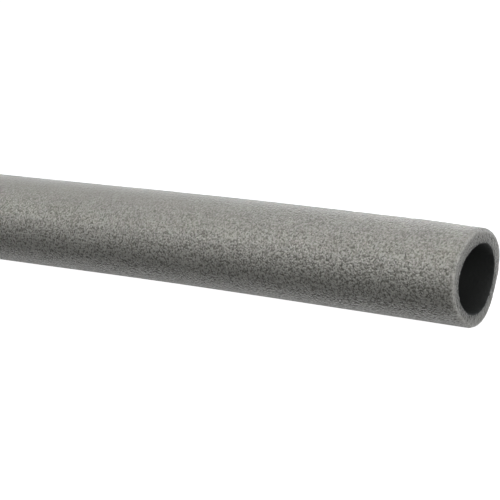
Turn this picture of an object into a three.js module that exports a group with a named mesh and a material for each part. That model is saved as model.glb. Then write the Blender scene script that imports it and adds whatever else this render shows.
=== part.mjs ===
// Pipe insulation lagging: one length of extruded grey polyethylene foam tube.
//
// Millimetres, +Z up. The tube lies on the plane z = 0 with its axis along X, and the origin
// is on that plane, under the middle of its length. Both ends are cut square, with the soft
// rounded edges that a cut foam end has, and the bore runs straight through for the pipe.
import * as THREE from "three";

// Driving dimensions
const tubeLength = 1000; // the length that the lagging is sold in
const pipeDiameter = 42; // outside diameter of the pipe that it covers
const slipClearance = 2; // how much wider than the pipe the bore is, so that it slides on
const wallThickness = 9; // thickness of the foam
const outerRimRadius = 3; // rounding of a cut end's outer edge
const boreRimRadius = 1; // rounding of a cut end's inner edge

// How finely the round shapes are faceted
const sides = 72; // flats round the tube
const rimDivisions = 3; // a rounded edge gets twice this many flats

// Sizes that follow from the driving ones
const boreRadius = (pipeDiameter + slipClearance) / 2;
const outerRadius = boreRadius + wallThickness;
const halfLength = tubeLength / 2;
const sideAngle = (2 * Math.PI) / sides;
const axisHeight = outerRadius * Math.cos(sideAngle / 2); // the lowest flat lies on z = 0

// The wall cut along the axis: x is the radius and y the station along the tube. It runs
// down the bore, out across one end, back along the outside and in across the other end,
// and closes on itself, so the lathe gives a closed tube.
function wallSection() {
  const quarter = Math.PI / 2;
  const section = new THREE.Path();
  section.moveTo(boreRadius, halfLength - boreRimRadius);
  section.lineTo(boreRadius, boreRimRadius - halfLength);
  section.absarc(boreRadius + boreRimRadius, boreRimRadius - halfLength, boreRimRadius,
    2 * quarter, 3 * quarter, false);
  section.lineTo(outerRadius - outerRimRadius, -halfLength);
  section.absarc(outerRadius - outerRimRadius, outerRimRadius - halfLength, outerRimRadius,
    3 * quarter, 4 * quarter, false);
  section.lineTo(outerRadius, halfLength - outerRimRadius);
  section.absarc(outerRadius - outerRimRadius, halfLength - outerRimRadius, outerRimRadius,
    0, quarter, false);
  section.lineTo(boreRadius + boreRimRadius, halfLength);
  section.absarc(boreRadius + boreRimRadius, halfLength - boreRimRadius, boreRimRadius,
    quarter, 2 * quarter, false);
  section.closePath();
  return section.getPoints(rimDivisions);
}

// The foam tube, turned about its own axis and laid down along X
function makeLaggingTube() {
  const firstEdge = Math.PI + sideAngle / 2; // puts the middle of one flat at the bottom
  const geometry = new THREE.LatheGeometry(wallSection(), sides, firstEdge);
  const greyFoam = new THREE.MeshStandardMaterial({ color: 0x92908b, roughness: 0.9, metalness: 0 });
  const tube = new THREE.Mesh(geometry, greyFoam);
  tube.name = "lagging_tube";
  tube.rotation.z = -Math.PI / 2;
  tube.position.z = axisHeight;
  return tube;
}

const lagging = new THREE.Group();
lagging.add(makeLaggingTube());

export default lagging;
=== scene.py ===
import math

import bpy
import numpy as np
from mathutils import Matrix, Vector, noise


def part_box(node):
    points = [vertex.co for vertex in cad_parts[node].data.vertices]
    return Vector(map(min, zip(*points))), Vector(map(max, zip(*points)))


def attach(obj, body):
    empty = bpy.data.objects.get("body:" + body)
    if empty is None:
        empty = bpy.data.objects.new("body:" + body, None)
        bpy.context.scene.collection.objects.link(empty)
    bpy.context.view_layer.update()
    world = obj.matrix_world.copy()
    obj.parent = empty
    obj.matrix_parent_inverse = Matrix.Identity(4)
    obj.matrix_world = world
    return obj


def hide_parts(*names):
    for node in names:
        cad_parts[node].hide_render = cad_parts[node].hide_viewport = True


# A length of grey extruded polyethylene foam lagging, lying on a pale studio table.
# The tube runs along X and rests on z = 0. Its cut end at +X faces the camera.
mm = 0.001
noiseLow, noiseHigh = 0.3, 0.7  # a noise texture seldom goes past these
firstColour, secondColour = 6, 7  # the inputs of a Mix node that take colours

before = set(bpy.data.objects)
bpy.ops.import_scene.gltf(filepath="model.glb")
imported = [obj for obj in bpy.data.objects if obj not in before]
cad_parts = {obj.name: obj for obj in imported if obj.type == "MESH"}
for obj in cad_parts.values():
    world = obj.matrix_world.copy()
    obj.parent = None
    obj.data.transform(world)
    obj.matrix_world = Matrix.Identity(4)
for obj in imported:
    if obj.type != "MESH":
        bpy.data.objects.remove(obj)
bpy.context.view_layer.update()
cadLow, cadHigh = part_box("lagging_tube")
print("frame loaded, tube", [round((high - low) / mm, 1) for low, high in zip(cadLow, cadHigh)], "mm")


def linearColour(hexColour):
    # an sRGB hex value as the linear colour that a shader takes
    parts = [int(hexColour[i:i + 2], 16) / 255 for i in (1, 3, 5)]
    return [p / 12.92 if p <= 0.04045 else ((p + 0.055) / 1.055) ** 2.4 for p in parts] + [1]


def perMetre(size):
    # a texture's scale from the size of its features in mm
    return 1 / (size * mm)


def addNode(tree, kind, settings=None, inputs=None):
    # settings are the node's own properties; an input, by name or number, is a plain value, a
    # socket, or a whole node, whose first output in use is linked
    node = tree.nodes.new("ShaderNode" + kind)
    for name, value in (settings or {}).items():
        setattr(node, name, value)
    for key, value in (inputs or {}).items():
        if isinstance(value, bpy.types.Node):
            value = next(output for output in value.outputs if output.enabled)
        if isinstance(value, bpy.types.NodeSocket):
            tree.links.new(value, node.inputs[key])
        else:
            node.inputs[key].default_value = value
    return node


def newMaterial(name):
    material = bpy.data.materials.new(name)
    material.use_nodes = True
    material.node_tree.nodes.clear()
    return material


# Camera, found from the outlines of the tube and of its bore in the photograph
photoCamera = {
    "turn": 62.35,  # degrees from the tube's axis to the camera, seen from above
    "rise": 11.18,  # degrees above the level of the axis
    "distance": 1.0324,  # metres from the middle of the mouth
    "aimSideways": -7.655,  # degrees that the camera looks past the mouth, to its left
    "aimUp": 0.729,  # degrees that it looks above the mouth
    "lens": 122.44,  # mm
    "sensor": 36.0,  # mm
    "clip": 0.05,  # metres, nothing closer is drawn
}


def placeCamera():
    turn, rise = math.radians(photoCamera["turn"]), math.radians(photoCamera["rise"])
    back = Vector((math.cos(rise) * math.cos(turn), -math.cos(rise) * math.sin(turn), math.sin(rise)))
    right = (-back).cross(Vector((0, 0, 1))).normalized()
    up = right.cross(-back)
    aim = (-back + right * math.tan(math.radians(photoCamera["aimSideways"]))
           + up * math.tan(math.radians(photoCamera["aimUp"])))
    lensData = bpy.data.cameras.new("photo camera")
    lensData.lens = photoCamera["lens"]
    lensData.sensor_width = photoCamera["sensor"]
    lensData.clip_start = photoCamera["clip"]
    camera = bpy.data.objects.new("photo camera", lensData)
    camera.location = mouth + back * photoCamera["distance"]
    camera.rotation_euler = aim.to_track_quat("-Z", "Y").to_euler()
    bpy.context.collection.objects.link(camera)
    bpy.context.scene.camera = camera


axisHeight = (cadLow[2] + cadHigh[2]) / 2
mouth = Vector((cadHigh[0], 0, axisHeight))  # the middle of the photographed end
placeCamera()
print("camera placed")

# Foam tube. Angles round it start at the side away from the camera and rise over the top.
laggingTube = {
    "wall": 9.0,  # mm, thickness of the foam
    "outerRim": 3.0,  # mm, rounding of a cut end's outer edge
    "boreRim": 0.5,  # mm, rounding of its inner edge, which the knife left sharper
    "boreDrop": 0.95,  # mm that the bore lies low of the middle
    "boreAside": 0.45,  # mm that it lies towards the camera's side
    "bow": 1.05,  # mm that the tube arches off the table between the places where it rests
    "bowLength": 500.0,  # mm from one such place to the next
    "bowStart": 50.0,  # mm that the first one would lie past the photographed end
    "waviness": 0.15,  # mm, slow ripple that the haul-off leaves along the tube
    "waveLength": 55.0,  # mm round the tube
    "waveStretch": 0.35,  # how fast the ripple changes along the tube, beside round it
    "dieLines": 0.035,  # mm, faint lines along the tube from the die
    "dieLineWidth": 1.6,  # mm
    "dieLinePlace": 7.3,  # where in the noise they are taken from
    "knifeDents": 0.35,  # mm, uneven places where the knife tore the cells
    "knifeBumps": 0.2,  # how far such a place may stand proud, beside how far it may sink
    "dentWidth": 3.0,  # mm
    "dentPlace": 3.1,  # where in the noise they are taken from
    "leanReach": 70.0,  # mm over which the lean of a hand-cut end dies away along the tube
    "lobeReach": 45.0,  # mm over which its dents out of round do
    "cutFade": 3.2,  # mm over which the cut foam turns into skin on the outer rounding
    "rubbedHighlightPlace": 1.0,  # mm up the outer rounding to the middle of its rubbed line, partly painted highlight
    "rubbedHighlightWidth": 1.1,  # mm
    "lipWidth": (1.9, 3.4),  # mm of the face by the bore that takes painted shade, at its top and bottom
    "heldReach": 330.0,  # mm from an end that hands have held
    # Each cut: degrees that it leans along its height and its width, then mm out of flat and
    # round, as a saddle twice round, lobes three and four times round the skin, and the bore's oval
    "nearCut": {"lean": 2.8, "leanAside": -0.3,
                "saddle": (-0.74, 0.26), "lobes": (0.54, 0.46), "oval": (0.44, 0.28)},
    "farCut": {"lean": -0.9, "leanAside": 0.5,
               "saddle": (0.32, -0.2), "lobes": (-0.25, 0.3), "oval": (-0.2, 0.25)},
    # The mesh: points in each ring, then how many rings lie along the skin, over a cut end's
    # outer rounding, its face and its inner rounding, and along the bore
    "columns": 320,
    "skinRings": 150,
    "rimRings": 12,
    "faceRings": 14,
    "boreRimRings": 6,
    "boreRings": 60,
    "crowding": 0.75,  # how much closer together the rings lie near the ends, up to 1
}


def endRings(half, outer, bore):
    # One cut end from the bore out to the skin. Each ring has its station, its radius, the two
    # parts of its outward normal, and the metres along the surface from where the outer
    # rounding begins, which are negative on the face.
    rim, inner = laggingTube["outerRim"] * mm, laggingTube["boreRim"] * mm
    rings = []
    for i in range(laggingTube["boreRimRings"]):
        angle = math.pi / 2 * i / laggingTube["boreRimRings"]
        rings.append((half - inner + inner * math.sin(angle), bore + inner - inner * math.cos(angle),
                      math.sin(angle), -math.cos(angle), bore - outer + rim))
    for i in range(laggingTube["faceRings"]):
        reach = (outer - rim - bore - inner) * (i / laggingTube["faceRings"] - 1)
        rings.append((half, outer - rim + reach, 1.0, 0.0, reach))
    for i in range(laggingTube["rimRings"] + 1):
        angle = math.pi / 2 * i / laggingTube["rimRings"]
        rings.append((half - rim + rim * math.cos(angle), outer - rim + rim * math.sin(angle),
                      math.cos(angle), math.sin(angle), angle * rim))
    return np.array(rings)


def crowdedStations(start, end, count):
    # stations between two ends, closer together near each end
    share = np.arange(1, count) / count
    crowding = laggingTube["crowding"]
    eased = crowding * (1 - np.cos(math.pi * share)) / 2 + (1 - crowding) * share
    return start + (end - start) * eased


def wallRings(half, outer, bore):
    # the whole wall as a closed loop of rings, and the part that each ring belongs to
    near = endRings(half, outer, bore)
    far = near[::-1] * [-1, 1, -1, 1, 1]
    skinEdge = half - laggingTube["outerRim"] * mm
    boreEdge = half - laggingTube["boreRim"] * mm
    skin = [(x, outer, 0, 1, 0) for x in crowdedStations(skinEdge, -skinEdge, laggingTube["skinRings"])]
    inside = [(x, bore, 0, -1, 0) for x in crowdedStations(-boreEdge, boreEdge, laggingTube["boreRings"])]
    rings = np.vstack([near, skin, far, inside])
    lip = laggingTube["boreRimRings"]  # the inner rounding has the bore's dark colour, which is painted shade
    part = np.array(["bore"] * lip + ["near"] * (len(near) - lip) + ["skin"] * len(skin)
                    + ["far"] * (len(far) - lip - 1) + ["bore"] * (lip + 1 + len(inside)))
    return rings, part


def noiseAt(points, size, place=0.0):
    # smooth noise from -1 to 1 at each point, with features of about the given size in mm
    return np.array([noise.noise(Vector(p) / (size * mm) + Vector((place, 0, 0))) for p in points])


def surfaceRelief(station, radius, normalX, normalR, turn):
    # metres that the surface stands proud along its own normal
    plain = np.stack([station, radius * np.cos(turn), radius * np.sin(turn)], -1).reshape(-1, 3)
    waves = noiseAt(plain * [laggingTube["waveStretch"], 1, 1], laggingTube["waveLength"])
    lines = noiseAt(plain * [0, 1, 1], laggingTube["dieLineWidth"], laggingTube["dieLinePlace"])
    dents = noiseAt(plain, laggingTube["dentWidth"], laggingTube["dentPlace"])
    waves, lines, dents = (values.reshape(turn.shape) for values in (waves, lines, dents))
    torn = np.minimum(dents, laggingTube["knifeBumps"]) * laggingTube["knifeDents"]
    return (waves * laggingTube["waviness"] + lines * laggingTube["dieLines"] * normalR ** 2
            + torn * np.abs(normalX)) * mm


def nearEnd(station, half, reach):
    # eases from 0 at the given reach behind the end, in mm, to 1 at the end
    share = np.clip((station - (half - reach * mm)) / (reach * mm), 0, 1)
    return share * share * (3 - 2 * share)


def shapeCutEnds(station, radius, turn, half, middle):
    # moves the rings near each end as the knife and the hand left them
    inBore = radius < middle
    for cut, sign in ((laggingTube["nearCut"], 1), (laggingTube["farCut"], -1)):
        leanShare = nearEnd(station * sign, half, laggingTube["leanReach"])
        lobeShare = nearEnd(station * sign, half, laggingTube["lobeReach"])
        lean = (np.sin(turn) * math.tan(math.radians(cut["lean"]))
                + np.cos(turn) * math.tan(math.radians(cut["leanAside"])))
        saddle = cut["saddle"][0] * np.cos(2 * turn) + cut["saddle"][1] * np.sin(2 * turn)
        lobes = cut["lobes"][0] * np.sin(3 * turn) + cut["lobes"][1] * np.sin(4 * turn)
        oval = cut["oval"][0] * np.cos(2 * turn) + cut["oval"][1] * np.sin(2 * turn)
        station = station + leanShare * (radius * lean + saddle * mm)
        radius = radius + lobeShare * np.where(inBore, oval, lobes) * mm
    return station, radius


def layOnTable(station, radius, turn, half, outer, bore):
    # points of the tube as it lies: its bore a little off the middle, its length bowed
    depth = np.clip((outer - radius) / (outer - bore), 0, 1)  # from 0 on the skin to 1 in the bore
    drop, aside = depth * laggingTube["boreDrop"] * mm, depth * laggingTube["boreAside"] * mm
    along = (half - station + laggingTube["bowStart"] * mm) / (laggingTube["bowLength"] * mm)
    lift = laggingTube["bow"] * mm * (1 - np.cos(2 * math.pi * along)) / 2
    height = axisHeight + radius * np.sin(turn) - drop + lift
    height = np.maximum(height, cadLow[2])  # the foam gives where it meets the table
    return np.stack([station, radius * np.cos(turn) - aside, height], -1).reshape(-1, 3)


def closedRingMesh(name, points, count, columns):
    # a smooth mesh over rings of points, where the last ring meets the first one again
    ring, column = np.meshgrid(np.arange(count), np.arange(columns), indexing="ij")
    nextRing, nextColumn = (ring + 1) % count, (column + 1) % columns
    faces = np.stack([ring * columns + column, nextRing * columns + column,
                      nextRing * columns + nextColumn, ring * columns + nextColumn], -1).reshape(-1, 4)
    mesh = bpy.data.meshes.new(name)
    mesh.from_pydata(points.tolist(), [], faces.tolist())
    mesh.update()
    mesh.polygons.foreach_set("use_smooth", np.ones(len(faces), bool))
    return mesh


def markFinishes(mesh, rings, part, turn, half, bore):
    # Weights from 0 to 1 that the foam's material reads: cut foam on the face, which turns
    # into skin over the rounding, the rubbed line between them, partly wear and partly painted
    # highlight, the face's lip round the bore, which takes painted shade, and the held ends
    onEnd = (part == "near") | (part == "far")
    rounding = rings[:, 4] / mm
    cutFoam = np.where(onEnd, np.clip(1 - rounding / laggingTube["cutFade"], 0, 1), 0)
    rubbedHighlight = np.exp(-((rounding - laggingTube["rubbedHighlightPlace"]) / laggingTube["rubbedHighlightWidth"]) ** 2) * onEnd
    lipWidth = np.interp(np.sin(turn[0]), [-1, 1], laggingTube["lipWidth"][::-1]) * mm
    boreLipShade = np.exp(-((rings[:, [1]] - bore) / lipWidth) ** 2) * onEnd[:, None]
    held = nearEnd(np.abs(rings[:, 0]), half, laggingTube["heldReach"])
    weights = {"cutFoam": cutFoam[:, None], "rubbedHighlight": rubbedHighlight[:, None],
               "boreLipShade": boreLipShade, "held": held[:, None]}
    for name, values in weights.items():
        attribute = mesh.attributes.new(name, "FLOAT", "POINT")
        values = np.broadcast_to(values, turn.shape).ravel().astype(np.float32)
        attribute.data.foreach_set("value", values)
    boreSlot = np.repeat(part == "bore", turn.shape[1]).astype(np.int32)
    mesh.polygons.foreach_set("material_index", boreSlot)


def makeLaggingTube():
    half = (cadHigh[0] - cadLow[0]) / 2
    outer = axisHeight - cadLow[2]
    bore = outer - laggingTube["wall"] * mm
    columns = laggingTube["columns"]
    rings, part = wallRings(half, outer, bore)
    station, radius, normalX, normalR = (np.repeat(rings[:, [k]], columns, 1) for k in range(4))
    turn = np.repeat(2 * math.pi * np.arange(columns)[None, :] / columns, len(rings), 0)

    relief = surfaceRelief(station, radius, normalX, normalR, turn)
    station, radius = shapeCutEnds(station + relief * normalX, radius + relief * normalR,
                                   turn, half, (outer + bore) / 2)
    points = layOnTable(station, radius, turn, half, outer, bore)
    mesh = closedRingMesh("foam_lagging_tube", points, len(rings), columns)
    markFinishes(mesh, rings, part, turn, half, bore)
    piece = bpy.data.objects.new("foam_lagging_tube", mesh)
    bpy.context.collection.objects.link(piece)
    print("foam tube made,", 2 * len(mesh.polygons), "triangles")
    return piece


# Extruded low-density polyethylene foam, blown grey. The die leaves a closed skin over cells
# of about a millimetre, so it looks matt and finely pebbled, with a soft bloom at its edges.
# Where a knife went through, the cells are open, so the face is a mosaic of hollows, whose darkness is
# painted shade.
extrudedFoam = {
    "colour": "#AAA9A3",
    # the crease colour is painted shade in the skin's creases
    "creaseShadeColour": "#5A5952",
    # the pit colour is painted shade in the hollows of opened cells
    "pitShadeColour": "#6A6964",
    # a paler line on the rim, partly wear and partly painted highlight
    "rubbedHighlightColour": "#C8C7C2",
    "roughness": 0.7,
    "ior": 1.51,
    "sheen": 1.0,
    "sheenRoughness": 0.35,
    "grain": 1.25,  # mm across one pebble of the skin, which is a blown cell or two
    "grainRelief": 1.1,  # mm
    "grainDetail": 2.5,  # finer layers in the shade alone
    "grainRoughness": 0.6,
    "creaseFrom": 0.27,  # heights between which the shade turns from crease to pebble
    "pebbleFrom": 0.67,
    "cell": 1.0,  # mm, one blown cell, each a little lighter or darker than the next
    "cellContrast": 0.75,
    "coarsePatch": 130.0,  # mm, places where the cells came out coarser or finer
    "coarseDepth": 0.2,
    "sideCrease": 1.9,  # depth of the painted crease shade on the sides and below, where light grazes the skin
    "topCrease": 0.25,  # and on top, where it is shallowest
    "heldSideCrease": 1.4,  # the same two near the ends, where hands have held the tube
    "heldTopCrease": 0.65,
    "shadeFadeFrom": -0.4,  # how far up a place faces, from -1 to 1, where the painted crease shade begins to lighten
    "shadeFadeTo": 0.9,  # and where it is lightest
    "rubbedHighlightShare": 1.3,  # how far the rubbed line, partly wear and partly painted highlight, turns to its own colour on the pebbles' tops
    "creaseRubbedHighlight": 0.05,  # and in the creases between them
    "rubbedRelief": 0.6,  # share of the relief that is left there
    "lipShade": 0.7,  # how far the face turns to the bore's dark colour at its lip, as painted shade
    "openCell": 1.8,  # mm, cells that the knife opened
    "openCellRelief": 0.3,  # mm
    "wallShare": 0.22,  # share of an opened cell over which it sinks from its wall
    "shallowCell": 0.15,  # depth of the shallowest cell beside the deepest
    "cutGrainRelief": 0.35,  # share of the skin's relief that shows on the cut face
    "patch": 16.0,  # mm, slow changes of shade
    "patchDepth": 0.03,
    "patchDetail": 3.0,
    "patchRoughness": 0.55,
}


def paintedCreaseShadeDepth(tree, facingUp, held):
    # how deep the painted crease shade is: full on the sides and below, where light grazes the skin, and
    # shallow on top
    look = extrudedFoam
    sideDepth = addNode(tree, "MapRange", None,
                        {"Value": held, "To Min": look["sideCrease"], "To Max": look["heldSideCrease"]})
    topDepth = addNode(tree, "MapRange", None,
                       {"Value": held, "To Min": look["topCrease"], "To Max": look["heldTopCrease"]})
    return addNode(tree, "MapRange", None,
                   {"Value": facingUp, "From Min": look["shadeFadeFrom"], "From Max": look["shadeFadeTo"],
                    "To Min": sideDepth, "To Max": topDepth})


def skinToneAndCreaseShade(tree, place, creaseShadeDepth):
    # the skin's random cell tone with painted shade in its creases, from 0 in a crease to 1 on a pebble's
    # top
    look = extrudedFoam
    coarse = addNode(tree, "TexNoise", None,
                     {"Vector": place, "Scale": perMetre(look["coarsePatch"]), "Detail": 0.0})
    coarseShare = addNode(tree, "MapRange", None,
                          {"Value": coarse, "From Min": noiseLow, "From Max": noiseHigh,
                           "To Min": 1 - look["coarseDepth"], "To Max": 1 + look["coarseDepth"]})
    creaseDepth = addNode(tree, "Math", {"operation": "MULTIPLY"}, {0: coarseShare, 1: creaseShadeDepth})
    cells = addNode(tree, "TexVoronoi", None, {"Vector": place, "Scale": perMetre(look["cell"])})
    cellNumber = addNode(tree, "SeparateColor", None, {"Color": cells.outputs["Color"]})
    cellShade = addNode(tree, "MapRange", None,
                        {"Value": cellNumber,
                         "To Min": -look["cellContrast"] / 2, "To Max": look["cellContrast"] / 2})
    # both heights lie evenly about 0, so that a deeper crease is a stronger contrast of painted shade
    # about 0.5
    grain = addNode(tree, "TexNoise", None,
                    {"Vector": place, "Scale": perMetre(look["grain"]), "Detail": look["grainDetail"],
                     "Roughness": look["grainRoughness"]})
    crease = addNode(tree, "MapRange", {"clamp": False},
                     {"Value": grain, "From Min": look["creaseFrom"], "From Max": look["pebbleFrom"],
                      "To Min": -0.5, "To Max": 0.5})
    height = addNode(tree, "Math", {"operation": "ADD"}, {0: cellShade, 1: crease})
    return addNode(tree, "Math", {"operation": "MULTIPLY_ADD", "use_clamp": True},
                   {0: height, 1: creaseDepth, 2: 0.5})


def openedCells(tree, place):
    # how deep the cut face is at each point of its hollow cells, from 0 on their walls to 1, for both
    # their relief and their painted shade
    look = extrudedFoam
    cellSize = {"Vector": place, "Scale": perMetre(look["openCell"])}
    walls = addNode(tree, "TexVoronoi", {"feature": "DISTANCE_TO_EDGE"}, cellSize)
    hollow = addNode(tree, "MapRange", {"interpolation_type": "SMOOTHSTEP"},
                     {"Value": walls, "From Max": look["wallShare"]})
    cells = addNode(tree, "TexVoronoi", None, cellSize)
    cellNumber = addNode(tree, "SeparateColor", None, {"Color": cells.outputs["Color"]})
    cellDepth = addNode(tree, "MapRange", None, {"Value": cellNumber, "To Min": look["shallowCell"]})
    return addNode(tree, "Math", {"operation": "MULTIPLY"}, {0: hollow, 1: cellDepth})


def foamShade(tree, place, weight, pebbleShade, pit):
    # colour: painted shade in creases, pits and at the bore's lip, a rubbed rim line that is
    # partly wear and partly painted highlight, and slowly patchy all over
    look = extrudedFoam
    # the skin: its random cell tone, with painted shade in the creases
    skin = addNode(tree, "Mix", {"data_type": "RGBA"},
                   {"Factor": pebbleShade, firstColour: linearColour(look["creaseShadeColour"]),
                    secondColour: linearColour(look["colour"])})
    # the cut face, with painted shade in its hollows
    cut = addNode(tree, "Mix", {"data_type": "RGBA"},
                  {"Factor": pit, firstColour: linearColour(look["colour"]),
                   secondColour: linearColour(look["pitShadeColour"])})
    foam = addNode(tree, "Mix", {"data_type": "RGBA"},
                   {"Factor": weight["cutFoam"], firstColour: skin, secondColour: cut})
    # the rubbed line, partly wear and partly painted highlight, strongest on the pebbles' tops
    highlightTops = addNode(tree, "MapRange", None,
                         {"Value": pebbleShade, "To Min": look["creaseRubbedHighlight"], "To Max": look["rubbedHighlightShare"]})
    highlightShare = addNode(tree, "Math", {"operation": "MULTIPLY"}, {0: weight["rubbedHighlight"], 1: highlightTops})
    highlitFoam = addNode(tree, "Mix", {"data_type": "RGBA"},
                         {"Factor": highlightShare, firstColour: foam,
                          secondColour: linearColour(look["rubbedHighlightColour"])})
    # painted shade on the face at the bore's lip
    lipShare = addNode(tree, "Math", {"operation": "MULTIPLY"},
                       {0: weight["boreLipShade"], 1: look["lipShade"]})
    shadedLip = addNode(tree, "Mix", {"data_type": "RGBA"},
                        {"Factor": lipShare, firstColour: highlitFoam,
                         secondColour: linearColour(boreShade["colour"])})
    patches = addNode(tree, "TexNoise", None,
                      {"Vector": place, "Scale": perMetre(look["patch"]), "Detail": look["patchDetail"],
                       "Roughness": look["patchRoughness"]})
    patchShade = addNode(tree, "MapRange", None,
                         {"Value": patches, "From Min": noiseLow, "From Max": noiseHigh,
                          "To Min": 1 - look["patchDepth"], "To Max": 1 + look["patchDepth"]})
    return addNode(tree, "VectorMath", {"operation": "SCALE"}, {0: shadedLip, "Scale": patchShade})


def foamRelief(tree, place, weight, creaseShadeDepth, pit):
    # relief: smooth pebbles on the skin and hollows on the cut, both softer where it is rubbed, and the
    # pebbles lower where the painted crease shade is shallow
    look = extrudedFoam
    firm = addNode(tree, "MapRange", None,
                   {"Value": weight["rubbedHighlight"], "To Min": 1.0, "To Max": look["rubbedRelief"]})
    skinShare = addNode(tree, "MapRange", None,
                        {"Value": weight["cutFoam"], "To Min": 1.0, "To Max": look["cutGrainRelief"]})
    firmSkin = addNode(tree, "Math", {"operation": "MULTIPLY"}, {0: firm, 1: skinShare})
    shadeDepthRelief = addNode(tree, "Math", {"operation": "MINIMUM"}, {0: creaseShadeDepth, 1: 1.0})
    grainStrength = addNode(tree, "Math", {"operation": "MULTIPLY"}, {0: firmSkin, 1: shadeDepthRelief})
    pebbles = addNode(tree, "TexNoise", None,
                      {"Vector": place, "Scale": perMetre(look["grain"]), "Detail": 0.0})
    grainBump = addNode(tree, "Bump", None,
                        {"Height": pebbles, "Distance": look["grainRelief"] * mm,
                         "Strength": grainStrength})
    pitHeight = addNode(tree, "Math", {"operation": "MULTIPLY"}, {0: pit, 1: weight["cutFoam"]})
    return addNode(tree, "Bump", {"invert": True},
                   {"Height": pitHeight, "Distance": look["openCellRelief"] * mm, "Strength": firm,
                    "Normal": grainBump})


def extrudedFoamMaterial():
    look = extrudedFoam
    material = newMaterial("extruded polyethylene foam")
    tree = material.node_tree
    coordinates = addNode(tree, "TexCoord")
    place = coordinates.outputs["Object"]
    facing = addNode(tree, "SeparateXYZ", None, {"Vector": coordinates.outputs["Normal"]})
    weight = {name: addNode(tree, "Attribute", {"attribute_name": name}).outputs["Fac"]
              for name in ("cutFoam", "rubbedHighlight", "boreLipShade", "held")}
    creaseShadeDepth = paintedCreaseShadeDepth(tree, facing.outputs["Z"], weight["held"])
    pebbleShade = skinToneAndCreaseShade(tree, place, creaseShadeDepth)
    pit = openedCells(tree, place)
    shader = addNode(tree, "BsdfPrincipled", None,
                     {"Base Color": foamShade(tree, place, weight, pebbleShade, pit),
                      "Roughness": look["roughness"], "IOR": look["ior"],
                      "Sheen Weight": look["sheen"], "Sheen Roughness": look["sheenRoughness"],
                      "Normal": foamRelief(tree, place, weight, creaseShadeDepth, pit)})
    addNode(tree, "OutputMaterial", None, {"Surface": shader})
    return material


# The bore: the same foam, smoother than the outside. Its colour is painted nearly black,
# as the shade inside the tube.
boreShade = {
    "colour": "#343635",
    "roughness": 0.6,
    "ior": 1.51,
    "cell": 1.6,  # mm
    "cellRelief": 0.25,  # mm
}


def boreShadeMaterial():
    look = boreShade
    material = newMaterial("foam bore painted dark as shade")
    tree = material.node_tree
    place = addNode(tree, "TexCoord").outputs["Object"]
    cells = addNode(tree, "TexVoronoi", None, {"Vector": place, "Scale": perMetre(look["cell"])})
    bump = addNode(tree, "Bump", {"invert": True},
                   {"Height": cells, "Distance": look["cellRelief"] * mm})
    shader = addNode(tree, "BsdfPrincipled", None,
                     {"Base Color": linearColour(look["colour"]), "Roughness": look["roughness"],
                      "IOR": look["ior"], "Normal": bump})
    addNode(tree, "OutputMaterial", None, {"Surface": shader})
    return material


tube = makeLaggingTube()
tube.data.materials.append(extrudedFoamMaterial())
tube.data.materials.append(boreShadeMaterial())
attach(tube, "root")
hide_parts("lagging_tube")
print("foam finished")

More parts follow.
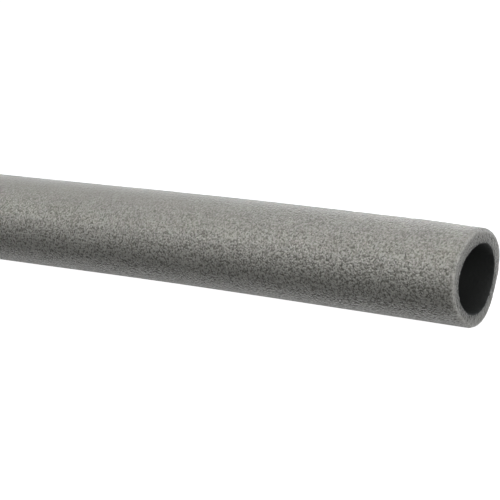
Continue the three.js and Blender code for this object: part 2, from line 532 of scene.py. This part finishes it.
# Studio: an opal table that is lit from under, soft boxes and a pale room
studio = {
    "tableColour": "#9A9A99",
    "tableRoughness": 0.9,
    "tableGlow": 1.0,  # brightness of the opal sheet itself
    "tableSide": 30.0,  # metres, far enough to fill the view
    "edgeHeight": 15.0,  # metres that its edges turn up, so that a level view ends in white as well
    "room": 0.210,  # brightness of the pale room all round
}
softBoxes = {
    # places and aims in metres from the middle of the photographed end, and sides in metres
    "key": {"place": (-0.2, -0.45, 1.24), "sides": (1.6, 0.4), "aim": (-0.2, 0, 0), "watts": 7.8},
    "behindHigh": {"place": (-0.2, 1.20, 0.70), "sides": (1.8, 0.5), "aim": (-0.2, 0, 0), "watts": 8.8,
                   "tint": "#EFF5FF"},
    "behindLow": {"place": (-0.2, 0.50, -0.87), "sides": (1.8, 0.4), "aim": (-0.2, 0, 0), "watts": 5.3},
    "rightHigh": {"place": (1.00, -0.75, 0.85), "sides": (0.5, 0.5), "aim": (0, 0, 0), "watts": 2.6},
    "rightSide": {"place": (1.00, -1.00, 0.20), "sides": (0.5, 0.5), "aim": (0, 0, 0), "watts": 2.5},
    # a long strip with a grid, whose narrow beam ends along the side of the tube
    "front": {"place": (-0.2, -0.54, 0.272), "sides": (1.6, 0.06), "aim": (-0.2, 0, 0.022),
              "watts": 0.160, "spread": 2.8, "gloss": False},
}


def makeTable():
    side, rise = studio["tableSide"] / 2, studio["edgeHeight"]
    corners = [(-side, -side), (side, -side), (side, side), (-side, side)]
    points = [(x, y, z) for z in (0, rise) for x, y in corners]
    edges = [(i, (i + 1) % 4, (i + 1) % 4 + 4, i + 4) for i in range(4)]
    mesh = bpy.data.meshes.new("pale_table")
    mesh.from_pydata(points, [], [(0, 1, 2, 3)] + edges)
    table = bpy.data.objects.new("pale_table", mesh)
    bpy.context.collection.objects.link(table)
    material = newMaterial("pale lit table")
    tree = material.node_tree
    shader = addNode(tree, "BsdfPrincipled", None,
                     {"Base Color": linearColour(studio["tableColour"]),
                      "Roughness": studio["tableRoughness"],
                      "Emission Color": (1, 1, 1, 1), "Emission Strength": studio["tableGlow"]})
    addNode(tree, "OutputMaterial", None, {"Surface": shader})
    mesh.materials.append(material)
    table.visible_diffuse = False
    table.visible_glossy = False
    table.visible_shadow = False


def hangSoftBox(name, place, sides, aim, watts, spread=180, tint="#FFFFFF", gloss=True):
    # the spread is in degrees, and gloss says whether the box shows as a reflection
    lamp = bpy.data.lights.new(name, "AREA")
    lamp.shape = "RECTANGLE"
    lamp.size, lamp.size_y = sides
    lamp.spread = math.radians(spread)
    lamp.energy = watts
    lamp.color = linearColour(tint)[:3]
    start, end = mouth + Vector(place), mouth + Vector(aim)
    softBox = bpy.data.objects.new(name, lamp)
    softBox.location = start
    softBox.rotation_euler = (end - start).to_track_quat("-Z", "Y").to_euler()
    softBox.visible_camera = False
    softBox.visible_glossy = gloss
    bpy.context.collection.objects.link(softBox)


def lightRoom():
    world = bpy.data.worlds.new("pale room")
    world.use_nodes = True
    background = world.node_tree.nodes["Background"]
    background.inputs["Color"].default_value = (1, 1, 1, 1)
    background.inputs["Strength"].default_value = studio["room"]
    bpy.context.scene.world = world
    bpy.context.scene.view_settings.view_transform = "Standard"


makeTable()
for boxName, box in softBoxes.items():
    hangSoftBox(boxName, **box)
lightRoom()
print("studio lit")
